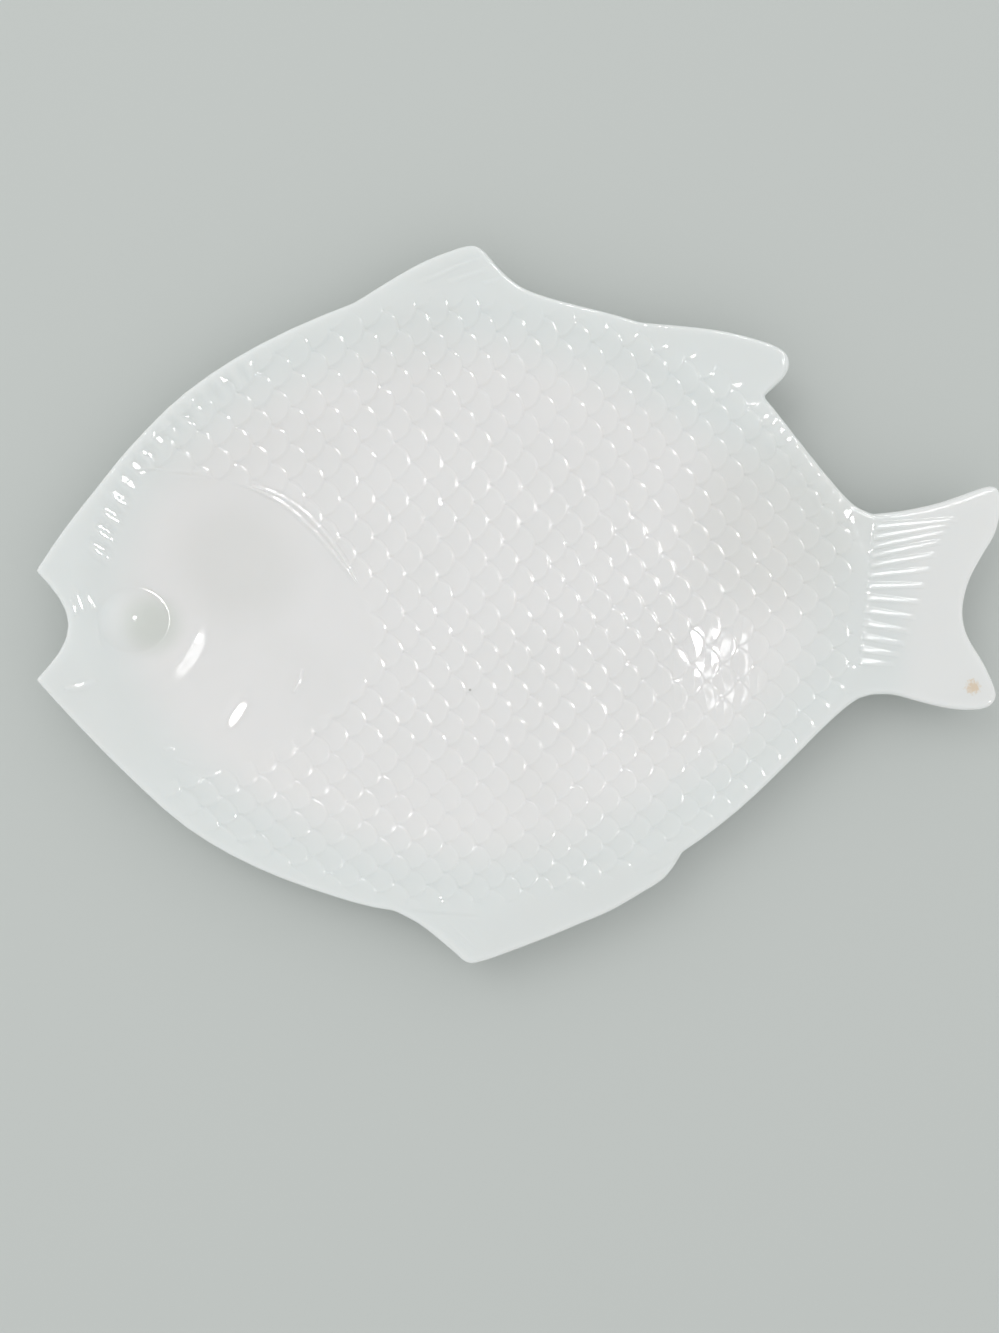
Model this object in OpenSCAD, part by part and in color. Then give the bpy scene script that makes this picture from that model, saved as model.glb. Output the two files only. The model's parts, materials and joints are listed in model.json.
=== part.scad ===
// Fish shaped platter of white pressed glass: a shallow pointed oval dish on a foot ring.
// Its rim runs out into two lips, four fins and a forked tail.
// It lies flat with the tail toward +X, the back fins toward +Y and the dish opening to +Z.

/* [Body] */
// Reach of the body from the dish centre to the lips
body_front = 163.5; // [140:0.5:190]
// Reach of the body from the dish centre to the root of the tail
body_rear = 151.5; // [130:0.5:180]
// Height of the back above the dish centre line
back_height = 118.5; // [100:0.5:140]
// Depth of the belly below the dish centre line
belly_depth = 118.5; // [100:0.5:140]

/* [Dish] */
// Rise of the dish from its floor to the start of the rim
dish_depth = 12; // [8:0.5:28]
// Width of the sloping flank between floor and rim
flank_width = 54; // [30:1:65]
// Thickness of the glass
glass_thickness = 4.2; // [3:0.1:7]
// Width of the rim at its narrowest, at the mouth and the tail root
rim_width = 10.5; // [6:0.5:16]
// Rise of the rim from the flank to the outer edge
rim_rise = 2; // [0.5:0.1:5]

/* [Foot] */
// Height of the foot ring
foot_height = 3; // [1.5:0.1:8]
// Width of the foot ring
foot_width = 5; // [3:0.5:12]
// Distance of the foot ring inside the edge of the flat floor
foot_inset = 2; // [0:0.5:10]

/* [Mouth] */
// Depth of the mouth notch between the lips
mouth_depth = 12.2; // [4:0.2:20]
// Opening between the two lip tips
mouth_gape = 41; // [25:0.5:55]
// Distance of the mouth below the dish centre line
mouth_drop = 9.4; // [0:0.2:18]

/* [Fins] */
// Height of the front back fin over its root
dorsal_fin_height = 16; // [10:0.5:28]
// Height of the rear back fin over its root
rear_dorsal_fin_height = 18; // [10:0.5:26]
// Height of the front belly fin over its root
pelvic_fin_height = 18; // [12:0.5:30]
// Height of the rear belly fin over its root
anal_fin_height = 7.7; // [4:0.1:14]

/* [Tail] */
// Length of the tail from its root to the tips
tail_length = 48.5; // [36:0.5:70]
// Distance between the two tail tips
tail_spread = 84; // [74:0.5:110]
// Width of the tail at its root
tail_root_width = 68; // [58:0.5:76]
// Number of rays on the tail
tail_ray_count = 13; // [7:1:17]
// Length of the longest tail ray
tail_ray_length = 30; // [18:0.5:32]
// Width of a tail ray at its root
tail_ray_width = 2.4; // [1:0.1:3]
// Height of a tail ray over the tail
tail_ray_height = 0.7; // [0.4:0.1:1.5]

/* [Eye] */
// Diameter of the eye
eye_diameter = 25; // [16:0.5:34]
// Height of the eye over the flank
eye_height = 3; // [1:0.1:6]
// Distance of the eye behind the lips
eye_setback = 35.5; // [32:0.5:60]

/* [Gill] */
// Distance from the lips to the rearmost point of the gill ridge
gill_reach = 126; // [112:0.5:150]
// Span of the gill ridge across the head
gill_span = 108; // [80:0.5:120]
// Width of the gill ridge
gill_ridge_width = 3.2; // [2:0.1:6]
// Height of the gill ridge over the dish
gill_ridge_height = 0.9; // [0.4:0.1:2]

/* [Hidden] */

opal_white = [0.92, 0.93, 0.92];
ground_white = [0.84, 0.85, 0.84];

// Outline of the back, from the upper lip to the tail root. Each pair is a share of body_front or
// body_rear, then of the rise from the lip or the tail root to the full height of the back.
forehead_shares = [[-0.940, 0.136], [-0.862, 0.289], [-0.782, 0.440], [-0.656, 0.628], [-0.486, 0.795]];
dorsal_root_shares = [
    [-0.268, 0.940], [-0.161, 0.978], [-0.046, 0.994], [0.074, 0.979], [0.173, 0.948], [0.270, 0.913]
];
rear_dorsal_root_shares = [[0.421, 0.840], [0.569, 0.731], [0.656, 0.635], [0.730, 0.514]];
upper_stem_shares = [[0.809, 0.340], [0.894, 0.154], [0.953, 0.041]];
// Outline of the belly, from the tail root to the lower lip, in shares of the same kind.
lower_stem_shares = [[0.960, 0.024], [0.894, 0.123], [0.790, 0.313], [0.666, 0.526]];
anal_root_shares = [[0.527, 0.716], [0.396, 0.846], [0.235, 0.950]];
pelvic_root_shares = [[0.025, 1.000], [-0.174, 0.983]];
throat_shares = [[-0.303, 0.928], [-0.495, 0.797], [-0.654, 0.628], [-0.803, 0.382], [-0.917, 0.167]];

// Fin outlines: a share along the fin's root, then a share of the fin's height over the root.
dorsal_shares = [
    [0.260, 0.569], [0.424, 0.913], [0.496, 1.000], [0.536, 0.876], [0.596, 0.513], [0.700, 0.176],
    [0.841, 0.047]
];
rear_dorsal_shares = [
    [0.380, 0.486], [0.773, 0.861], [0.958, 1.000], [1.036, 0.865], [1.053, 0.580], [1.032, 0.324]
];
anal_shares = [[0.105, 0.360], [0.243, 0.663], [0.420, 0.760], [0.718, 1.000]];
pelvic_shares = [
    [-0.053, 0.468], [0.066, 0.593], [0.351, 0.827], [0.511, 0.981], [0.587, 1.000], [0.671, 0.745],
    [0.852, 0.238]
];
// Tail outline: a share of tail_length, then of half of tail_spread.
tail_shares = [
    [0.241, 0.842], [0.498, 0.905], [0.692, 0.979], [0.886, 1.056], [0.959, 1.050], [0.988, 0.995],
    [1.000, 0.900], [0.953, 0.637], [0.845, 0.423], [0.744, 0.192], [0.698, -0.067], [0.736, -0.281],
    [0.863, -0.530], [0.947, -0.746], [0.957, -0.832], [0.917, -0.908], [0.809, -0.946], [0.606, -0.937],
    [0.374, -0.877], [0.163, -0.812]
];
// Gill ridge from above the eye to below it: a share of gill_reach, then of half of gill_span.
gill_shares = [
    [0.564, 1.000], [0.731, 0.865], [0.825, 0.669], [0.928, 0.341], [1.000, -0.081], [0.934, -0.498],
    [0.825, -0.717], [0.614, -1.000]
];
// Distance of the tail root's middle below the centre line, as a share of its width.
root_drop_share = 0.022;
// Distance of the eye below the centre line, as a share of mouth_drop.
eye_drop_share = 0.765;
// Distance of the gill ridge's middle below the centre line, as a share of mouth_drop.
gill_drop_share = 0.862;
// Length by which each ray is shorter than its inner neighbour, as a share of tail_ray_length.
ray_step_share = 0.04;
// Part of the tail root's width over which the rays spread, and how far their middle lies above its middle.
ray_spread_share = 0.745;
ray_lift_share = 0.052;
// Place along the tail where the rays start, as a share of tail_length.
ray_start_share = 0.02;
// Distance behind the root from which the rays fan out, as a share of tail_root_width.
ray_fan_share = 1.7;

// Share by which the dish's oval is drawn in between its long and short axes toward the tail.
taper_share = 0.077;
// Steepness of the flank where it meets the rim, against its mean slope.
shoulder_slope = 1.1;

// Steps for each stretch of an outline, and rings of the flank, the rim and the eye.
outline_steps = 3;
fin_steps = 4;
mouth_steps = 8;
root_steps = 5;
flank_rings = 6;
rim_rings = 3;
eye_rings = 4;
eye_sides = 24;

// Heights of the dish and of the level outer edge with its fins and tail.
floor_top = foot_height + glass_thickness;
edge_top = floor_top + dish_depth + rim_rise;
edge_under = edge_top - glass_thickness;

// Reach of the dish from its centre, before the rim starts.
dish_front = body_front - mouth_depth - rim_width;
dish_rear = body_rear - rim_width;
dish_up = back_height - rim_width;
dish_down = belly_depth - rim_width;

// Distance of the dish's edge from its centre in the direction of an angle: an oval that
// is drawn in toward the tail.
function dish_radius(angle) =
    let (along = cos(angle) / (cos(angle) < 0 ? dish_front : dish_rear))
    let (across = sin(angle) / (sin(angle) < 0 ? dish_down : dish_up))
    let (taper = taper_share * pow(sin(2 * angle), 2) * (1 + cos(angle)) / 2)
    (1 - taper) / sqrt(along * along + across * across);

// Share of the dish's depth reached at a share of the flank's width, level at the floor.
function flank_rise(share) =
    (3 - shoulder_slope) * pow(share, 2) + (shoulder_slope - 2) * pow(share, 3);

// Upper face of the dish over a point of the plan.
function dish_top(point) =
    let (inward = dish_radius(atan2(point.y, point.x)) - norm(point))
    let (share = min(1, max(0, 1 - inward / flank_width)))
    floor_top + dish_depth * flank_rise(share);

// A smooth curve through points, as straight steps.
function heading(points, i) =
    let (before = max(i - 1, 0), after = min(i + 1, len(points) - 1))
    let (way_in = norm(points[i] - points[before]), way_out = norm(points[after] - points[i]))
    (points[after] - points[before]) / (way_in + way_out);

function bend(points, i, s) =
    let (span = norm(points[i + 1] - points[i]))
    let (ease = s * s * (3 - 2 * s))
    points[i] * (1 - ease) + points[i + 1] * ease
    + heading(points, i) * span * s * pow(1 - s, 2)
    - heading(points, i + 1) * span * s * s * (1 - s);

function curve(points, steps) = [
    for (i = [0:len(points) - 2])
        for (k = [0:steps - 1])
            bend(points, i, k / steps),
    points[len(points) - 1]
];

function without_last(points) = [for (i = [0:len(points) - 2]) points[i]];
function reversed(points) = [for (i = [len(points) - 1:-1:0]) points[i]];
function left_of(way) = [-way.y, way.x] / norm(way);

// Body outline, without the fins: back, tail root, belly and mouth.
upper_lip = [-body_front, mouth_gape / 2 - mouth_drop];
lower_lip = [-body_front, -mouth_gape / 2 - mouth_drop];
root_middle = [body_rear, -tail_root_width * root_drop_share];
root_top = root_middle + [0, tail_root_width / 2];
root_bottom = root_middle - [0, tail_root_width / 2];

// A point of the body outline: its reach along the body, and its rise from an end to the full height.
function reach(share) = share * (share < 0 ? body_front : body_rear);
function rise(share, low, high) = low + (high - low) * share;
back_points = [
    upper_lip,
    for (share = concat(forehead_shares, dorsal_root_shares, rear_dorsal_root_shares, upper_stem_shares))
        [reach(share.x), rise(share.y, share.x < 0 ? upper_lip.y : root_top.y, back_height)],
    root_top
];
belly_points = [
    root_bottom,
    for (share = concat(lower_stem_shares, anal_root_shares, pelvic_root_shares, throat_shares))
        [reach(share.x), rise(share.y, share.x < 0 ? lower_lip.y : root_bottom.y, -belly_depth)],
    lower_lip
];
back_line = curve(back_points, outline_steps);
belly_line = curve(belly_points, outline_steps);
root_line = [for (k = [0:root_steps]) root_top + (root_bottom - root_top) * k / root_steps];
mouth_line = [
    for (k = [0:mouth_steps])
        lower_lip + (upper_lip - lower_lip) * k / mouth_steps + [mouth_depth * sin(180 * k / mouth_steps), 0]
];
body_outline = concat(
    without_last(back_line), without_last(root_line), without_last(belly_line), without_last(mouth_line)
);
columns = len(body_outline);

// A stretch of the back or belly line under a fin, from one outline point to another.
function root_of(line, first, last) = [for (i = [first * outline_steps:last * outline_steps]) line[i]];
dorsal_start = 1 + len(forehead_shares);
dorsal_end = dorsal_start + len(dorsal_root_shares) - 1;
rear_dorsal_start = dorsal_end + 1;
rear_dorsal_end = dorsal_end + len(rear_dorsal_root_shares);
anal_start = 1 + len(lower_stem_shares);
anal_end = anal_start + len(anal_root_shares) - 1;
pelvic_end = anal_end + len(pelvic_root_shares);
dorsal_base = root_of(back_line, dorsal_start, dorsal_end);
rear_dorsal_base = root_of(back_line, rear_dorsal_start, rear_dorsal_end);
anal_base = root_of(belly_line, anal_start, anal_end);
pelvic_base = root_of(belly_line, anal_end, pelvic_end);

// Points of a fin's outer edge. A share before or past the root goes on straight along it.
function along_root(root, share) =
    let (last = len(root) - 1, place = min(1, max(0, share)))
    let (step = min(last - 1, floor(place * last)), part = place * last - step)
    root[step] * (1 - part) + root[step + 1] * part + (root[last] - root[0]) * (share - place);
function fin_points(root, height, shares) =
    let (outward = left_of(root[len(root) - 1] - root[0]))
    [for (share = shares) along_root(root, share.x) + outward * height * share.y];

dorsal_edge = fin_points(dorsal_base, dorsal_fin_height, dorsal_shares);
rear_dorsal_edge = fin_points(rear_dorsal_base, rear_dorsal_fin_height, rear_dorsal_shares);
pelvic_edge = fin_points(pelvic_base, pelvic_fin_height, pelvic_shares);
anal_edge = concat(fin_points(anal_base, anal_fin_height, anal_shares), [pelvic_edge[0]]);
tail_points = [
    for (share = tail_shares) root_middle + [share.x * tail_length, share.y * tail_spread / 2]
];

// Whole curves of the outer edges; each starts and ends on the body outline where it can.
dorsal_curve = curve(
    concat([dorsal_base[0]], dorsal_edge, [dorsal_base[len(dorsal_base) - 1]]),
    fin_steps
);
rear_dorsal_curve = curve(
    concat([rear_dorsal_base[0]], rear_dorsal_edge, [rear_dorsal_base[len(rear_dorsal_base) - 1]]),
    fin_steps
);
anal_curve = curve(concat([anal_base[0]], anal_edge), fin_steps);
pelvic_curve = curve(concat(pelvic_edge, [pelvic_base[len(pelvic_base) - 1]]), fin_steps);
tail_curve = curve(concat([root_top], tail_points, [root_bottom]), fin_steps);

// Middle of the platter's plan, which lies on the origin.
plan = concat(body_outline, dorsal_curve, rear_dorsal_curve, anal_curve, pelvic_curve, tail_curve);
plan_x = [for (point = plan) point.x];
plan_y = [for (point = plan) point.y];
plan_middle = [(min(plan_x) + max(plan_x)) / 2, (min(plan_y) + max(plan_y)) / 2];

// Puts a piece drawn about the dish centre where it lies about the platter's own middle.
module placed() {
    translate([-plan_middle.x, -plan_middle.y, 0])
        children();
}

// Oval inside the dish's edge by a distance, with one point for each column of the outline.
function oval(inset) = [
    for (point = body_outline)
        point / norm(point) * (dish_radius(atan2(point.y, point.x)) - inset)
];

// A ring shaped sheet of glass: rings of plan points with the heights of its upper face.
module glass_ring(rings) {
    count = len(rings);
    upper = [for (ring = rings) each ring];
    lower = [for (point = upper) point - [0, 0, glass_thickness]];
    function at(ring, column) = ring * columns + column % columns;
    function under(ring, column) = at(ring, column) + count * columns;
    faces = [
        for (c = [0:columns - 1])
            for (r = [0:count - 2])
                each [
                    [at(r, c), at(r, c + 1), at(r + 1, c + 1)],
                    [at(r, c), at(r + 1, c + 1), at(r + 1, c)],
                    [under(r, c), under(r + 1, c + 1), under(r, c + 1)],
                    [under(r, c), under(r + 1, c), under(r + 1, c + 1)]
                ],
        for (c = [0:columns - 1])
            each [
                [at(0, c), under(0, c + 1), at(0, c + 1)],
                [at(0, c), under(0, c), under(0, c + 1)],
                [at(count - 1, c), at(count - 1, c + 1), under(count - 1, c + 1)],
                [at(count - 1, c), under(count - 1, c + 1), under(count - 1, c)]
            ]
    ];
    polyhedron(points = concat(upper, lower), faces = [for (face = faces) reversed(face)]);
}

// Flat floor of the dish
module well() {
    color(opal_white)
        placed()
            translate([0, 0, foot_height])
                linear_extrude(glass_thickness)
                    polygon(oval(flank_width));
}

// Sloping wall that rises from the floor all round
module flank() {
    color(opal_white)
        placed()
            glass_ring([
                for (k = [0:flank_rings])
                    let (share = k / flank_rings)
                    [
                        for (point = oval(flank_width * (1 - share)))
                            [point.x, point.y, floor_top + dish_depth * flank_rise(share)]
                    ]
            ]);
}

// Rim that eases out to level, with the two lips and the mouth notch in its outline
module rim() {
    inner = oval(0);
    color(opal_white)
        placed()
            glass_ring([
                for (k = [0:rim_rings])
                    let (share = k / rim_rings)
                    let (height = floor_top + dish_depth + rim_rise * share * (2 - share))
                    [
                        for (c = [0:columns - 1])
                            let (point = inner[c] + (body_outline[c] - inner[c]) * share)
                            [point.x, point.y, height]
                    ]
            ]);
}

// Low ring that the platter stands on
module foot_ring() {
    color(ground_white)
        placed()
            linear_extrude(foot_height)
                difference() {
                    polygon(oval(flank_width + foot_inset));
                    polygon(oval(flank_width + foot_inset + foot_width));
                }
}

// A fin or tail: level glass between its root on the rim and its own outer edge
module flat_fin(root, edge) {
    color(opal_white)
        placed()
            translate([0, 0, edge_under])
                linear_extrude(glass_thickness)
                    polygon(concat(edge, reversed(root)));
}

function inner_points(points) = [for (i = [1:len(points) - 2]) points[i]];

// Tall front fin of the back
module dorsal_fin() {
    flat_fin(inner_points(dorsal_base), dorsal_curve);
}

// Rear fin of the back, which ends in a notch
module rear_dorsal_fin() {
    flat_fin(inner_points(rear_dorsal_base), rear_dorsal_curve);
}

// Tall front fin of the belly
module pelvic_fin() {
    flat_fin(without_last(pelvic_base), pelvic_curve);
}

// Low rear fin of the belly, which runs into the front one
module anal_fin() {
    flat_fin([for (i = [1:len(anal_base) - 1]) anal_base[i]], anal_curve);
}

// Forked tail
module tail_fin() {
    flat_fin(inner_points(root_line), tail_curve);
}

// Rays that fan out over the root of the tail, each a low bar that narrows to its tip
module tail_rays() {
    fan_middle = root_middle + [tail_length * ray_start_share, tail_root_width * ray_lift_share];
    fan_point = fan_middle - [tail_root_width * ray_fan_share, 0];
    middle_ray = (tail_ray_count - 1) / 2;
    color(opal_white)
        placed()
            translate([0, 0, edge_top])
                linear_extrude(tail_ray_height)
                    for (k = [0:tail_ray_count - 1]) {
                        side = (k - middle_ray) / middle_ray;
                        start = fan_middle + [0, side * tail_root_width * ray_spread_share / 2];
                        way = (start - fan_point) / norm(start - fan_point);
                        run = tail_ray_length * (1 - ray_step_share * abs(k - middle_ray));
                        half = left_of(way) * tail_ray_width / 2;
                        polygon([start + half, start - half, start + way * run]);
                    }
}

// Domed eye on the flank of the head
module eye() {
    middle = [-body_front + eye_setback, -mouth_drop * eye_drop_share];
    function toward(k) = [cos(360 * k / eye_sides), sin(360 * k / eye_sides)];
    spots = [
        for (r = [0:eye_rings])
            for (k = [0:eye_sides - 1])
                middle + toward(k) * eye_diameter / 2 * r / eye_rings
    ];
    function ring_of(i) = floor(i / eye_sides);
    function dome(i) = eye_height * (1 - pow(ring_of(i) / eye_rings, 2));
    upper = [for (i = [0:len(spots) - 1]) [spots[i].x, spots[i].y, dish_top(spots[i]) + dome(i)]];
    lower = [for (spot = spots) [spot.x, spot.y, dish_top(spot)]];
    // The middle of each face is one point, and both faces share the outer ring.
    function at(r, k) = r == 0 ? 0 : r * eye_sides + k % eye_sides;
    function under(r, k) = r == eye_rings ? at(r, k) : at(r, k) + len(spots);
    faces = [
        for (k = [0:eye_sides - 1])
            for (r = [0:eye_rings - 1])
                each [
                    [at(r, k), at(r + 1, k), at(r + 1, k + 1)],
                    if (r > 0) [at(r, k), at(r + 1, k + 1), at(r, k + 1)],
                    [under(r, k), under(r + 1, k + 1), under(r + 1, k)],
                    if (r > 0) [under(r, k), under(r, k + 1), under(r + 1, k + 1)]
                ]
    ];
    color(opal_white)
        placed()
            polyhedron(points = concat(upper, lower), faces = [for (face = faces) reversed(face)]);
}

// Low ridge along the gill cover, widest at its middle
module gill_ridge() {
    middle = [-body_front, -mouth_drop * gill_drop_share];
    path = curve(
        [for (share = gill_shares) middle + [share.x * gill_reach, share.y * gill_span / 2]],
        fin_steps
    );
    last = len(path) - 1;
    function swell(i) = sin(180 * i / last);
    function side(i, way) =
        path[i] + left_of(path[i + 1] - path[i - 1]) * way * swell(i) * gill_ridge_width / 2;
    function seated(point, lift) = [point.x, point.y, dish_top(point) + lift];
    // Two end points, then an outer foot, a crest and an inner foot for each step between them.
    points = [
        seated(path[0], 0),
        seated(path[last], 0),
        for (i = [1:last - 1])
            each [
                seated(side(i, -1), 0),
                seated(path[i], swell(i) * gill_ridge_height),
                seated(side(i, 1), 0)
            ]
    ];
    function row(i, k) = 2 + 3 * (i - 1) + k;
    faces = [
        for (k = [0:2])
            each [
                [0, row(1, k), row(1, (k + 1) % 3)],
                [1, row(last - 1, (k + 1) % 3), row(last - 1, k)]
            ],
        for (i = [1:last - 2])
            for (k = [0:2])
                each [
                    [row(i, k), row(i + 1, k), row(i + 1, (k + 1) % 3)],
                    [row(i, k), row(i + 1, (k + 1) % 3), row(i, (k + 1) % 3)]
                ]
    ];
    color(opal_white)
        placed()
            polyhedron(points = points, faces = [for (face = faces) reversed(face)]);
}

well();
flank();
rim();
foot_ring();
dorsal_fin();
rear_dorsal_fin();
pelvic_fin();
anal_fin();
tail_fin();
tail_rays();
eye();
gill_ridge();
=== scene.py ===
# %% [markdown]
# # A fish shaped platter of white pressed glass
# The real platter is one piece of opal glass. A plunger pressed it in a mould, so the dish, the
# scales, the eye, the fins and the tail are all one skin without seams. The solids of the frame
# divide that piece into plain zones; here one skin is laid over the zones and the moulded relief
# is worked into it. Every length is in metres, in the frame's own axes: the tail points to +X, the
# back fin to +Y, and the dish opens to +Z.

# %% Load the frame
import json
import math

import bmesh
import bpy
import numpy as np
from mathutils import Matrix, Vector, kdtree
from mathutils.geometry import delaunay_2d_cdt

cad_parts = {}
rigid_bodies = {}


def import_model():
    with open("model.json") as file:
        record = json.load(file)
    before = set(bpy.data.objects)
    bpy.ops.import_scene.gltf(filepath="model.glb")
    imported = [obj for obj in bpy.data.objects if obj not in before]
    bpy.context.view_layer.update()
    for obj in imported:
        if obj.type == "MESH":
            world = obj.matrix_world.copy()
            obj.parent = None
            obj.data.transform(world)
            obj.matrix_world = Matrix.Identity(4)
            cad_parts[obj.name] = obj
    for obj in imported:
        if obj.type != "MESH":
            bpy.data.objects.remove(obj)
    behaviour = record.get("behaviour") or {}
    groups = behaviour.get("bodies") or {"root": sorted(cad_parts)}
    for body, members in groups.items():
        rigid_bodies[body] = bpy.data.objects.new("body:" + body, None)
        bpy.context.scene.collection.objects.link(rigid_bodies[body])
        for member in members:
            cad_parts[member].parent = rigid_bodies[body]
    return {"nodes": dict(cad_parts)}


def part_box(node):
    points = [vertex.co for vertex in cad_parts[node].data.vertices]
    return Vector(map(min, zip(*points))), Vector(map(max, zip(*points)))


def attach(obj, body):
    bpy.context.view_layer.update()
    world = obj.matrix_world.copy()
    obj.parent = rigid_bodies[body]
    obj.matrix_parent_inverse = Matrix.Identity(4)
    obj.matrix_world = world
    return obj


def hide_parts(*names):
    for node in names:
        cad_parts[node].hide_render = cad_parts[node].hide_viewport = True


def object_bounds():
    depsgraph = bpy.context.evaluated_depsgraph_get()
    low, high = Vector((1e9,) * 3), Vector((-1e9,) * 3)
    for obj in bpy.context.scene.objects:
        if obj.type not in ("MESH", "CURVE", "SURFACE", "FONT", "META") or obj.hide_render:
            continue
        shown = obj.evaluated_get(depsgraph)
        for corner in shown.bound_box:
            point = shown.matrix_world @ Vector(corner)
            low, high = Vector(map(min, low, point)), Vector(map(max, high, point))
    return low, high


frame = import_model()
cad_low, cad_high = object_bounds()
MM = 0.001
print("frame:", len(frame["nodes"]), "zones, box in mm", [round(v / MM, 1) for v in cad_high - cad_low])

# %% [markdown]
# ## The sizes of the dish
# All main sizes are read from the boxes of the zones. The flank is the sloping wall, so its box
# gives the edge of the dish and its middle. The well is the flat floor. What no box can give is
# how the oval is drawn in toward the tail and how steep the wall is at its shoulder: those two
# shares are the ones that the solids were made with.

# %% Sizes from the zones
well_low, well_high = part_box("well")
flank_low, flank_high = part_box("flank")
_, rim_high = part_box("rim")
dish_middle = (flank_low + flank_high) / 2
dish_half_length = (flank_high.x - flank_low.x) / 2
dish_half_width = (flank_high.y - flank_low.y) / 2
flank_width = flank_high.x - well_high.x
rim_width = rim_high.x - flank_high.x
floor_top = well_high.z
glass_thickness = well_high.z - well_low.z
dish_depth = flank_high.z - floor_top
rim_rise = rim_high.z - flank_high.z
taper_share = 0.077
shoulder_slope = 1.1


def oval_reach(angle):
    """Distance of the dish's oval edge from its middle, at an angle."""
    oval = 1 / np.hypot(np.cos(angle) / dish_half_length, np.sin(angle) / dish_half_width)
    taper = taper_share * np.sin(2 * angle) ** 2 * (1 + np.cos(angle)) / 2
    return oval * (1 - taper)


def edge_distance(x, y):
    """Distance of a plan point outside the dish's oval edge; negative inside the dish."""
    x, y = x - dish_middle.x, y - dish_middle.y
    return np.hypot(x, y) - oval_reach(np.arctan2(y, x))


def plain_height(x, y):
    """Upper face of the glass without relief: floor, flank with a rounded shoulder, level rim."""
    outside = edge_distance(x, y)
    up = np.clip(1 + outside / flank_width, 0, 1)
    out = np.clip(outside / rim_width, 0, 1)
    wall = (3 - shoulder_slope) * up**2 + (shoulder_slope - 2) * up**3
    return floor_top + dish_depth * wall + rim_rise * out * (2 - out)


print("dish in mm:", round(2 * dish_half_length / MM), "by", round(2 * dish_half_width / MM),
      "by", round(dish_depth / MM, 1), "deep")

# %% [markdown]
# ## The camera
# The photograph looks straight down into the dish. A phone held at arm's length has a wide lens,
# so the floor of the dish looks a little smaller than the rim. The camera repeats that: it hangs
# over the point at the picture's middle, as high as makes the rim its measured number of pixels
# long. The same numbers turn a pixel of the photograph into a place on the glass, which is how
# the small relief is placed further on.

# %% Camera over the dish
photo_width, photo_height = 999, 1333
pixel_at_rim = 0.375 * MM
lens_mm, sensor_mm = 28, 36
dish_middle_px = (470, 600)
sight_rounds = 6
focal_px = lens_mm / sensor_mm * photo_height
camera_place = Vector((
    dish_middle.x + (photo_width / 2 - dish_middle_px[0]) * pixel_at_rim,
    dish_middle.y + (dish_middle_px[1] - photo_height / 2) * pixel_at_rim,
    rim_high.z + focal_px * pixel_at_rim,
))
camera = bpy.data.objects.new("camera", bpy.data.cameras.new("camera"))
camera.data.lens, camera.data.sensor_width = lens_mm, sensor_mm
camera.data.clip_start = 10 * MM
camera.location = camera_place
bpy.context.scene.collection.objects.link(camera)
bpy.context.scene.camera = camera


def on_glass(pixels):
    """Plan points of the glass that the camera sees at these pixels of the photograph."""
    pixels = np.asarray(pixels, float)
    ray = np.stack([pixels[:, 0] - photo_width / 2, photo_height / 2 - pixels[:, 1]], 1) / focal_px
    height = np.full(len(pixels), rim_high.z)
    for _ in range(sight_rounds):
        plan = np.array(camera_place.xy) + ray * (camera_place.z - height)[:, None]
        height = plain_height(plan[:, 0], plan[:, 1])
    return plan


print("camera", round(camera_place.z / MM), "mm over the table")

# %% [markdown]
# ## The outline
# The outer edge of the platter runs round the rim, the four fins and the tail. The upper faces of
# those zones meet edge to edge, so when they are welded together, the edges that belong to one
# face only are the outline. The zones have straight steps there; glass has none, because its
# edge is fire polished. So the loop is cut into short even steps and eased with a bell curve.

# %% Outline of the fish
edge_zones = ("rim", "dorsal_fin", "rear_dorsal_fin", "pelvic_fin", "anal_fin", "tail_fin")
weld_reach = 0.02 * MM
outline_step = 1.0 * MM
outline_ease = 0.75 * MM
upward = 0.5


def outer_loop(zones):
    """The outer edge of the zones' upper faces, as plan points in order from the upper lip's tip."""
    skin = bmesh.new()
    for zone in zones:
        skin.from_mesh(frame["nodes"][zone].data)
    skin.normal_update()
    hidden = [face for face in skin.faces if face.normal.z < upward]
    bmesh.ops.delete(skin, geom=hidden, context="FACES")
    bmesh.ops.remove_doubles(skin, verts=skin.verts, dist=weld_reach)
    rim_edges = {edge for edge in skin.edges if len(edge.link_faces) == 1}
    first = here = min((v for edge in rim_edges for v in edge.verts), key=lambda v: (v.co.x, -v.co.y))
    loop, before = [], None
    while here is not first or before is None:
        loop.append(here.co.xy.copy())
        edge = next(e for e in here.link_edges if e in rim_edges and e is not before)
        here, before = edge.other_vert(here), edge
    skin.free()
    return np.array(loop)


def even_loop(loop, step):
    """A closed loop cut again into even steps."""
    closed = np.vstack([loop, loop[:1]])
    way = np.concatenate([[0], np.cumsum(np.hypot(*np.diff(closed, axis=0).T))])
    marks = np.linspace(0, way[-1], round(way[-1] / step), endpoint=False)
    return np.stack([np.interp(marks, way, closed[:, k]) for k in (0, 1)], 1)


def eased_loop(loop, step, reach):
    """A closed loop whose points are averaged with their neighbours under a bell curve."""
    steps = np.arange(-math.ceil(4 * reach / step), math.ceil(4 * reach / step) + 1)
    weights = np.exp(-((steps * step / reach) ** 2) / 2)
    return sum(w * np.roll(loop, k, axis=0) for w, k in zip(weights / weights.sum(), steps))


def left_of(way):
    """Unit vectors a quarter turn to the left of plan vectors."""
    return np.stack([-way[:, 1], way[:, 0]], 1) / np.hypot(*way.T)[:, None]


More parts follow.
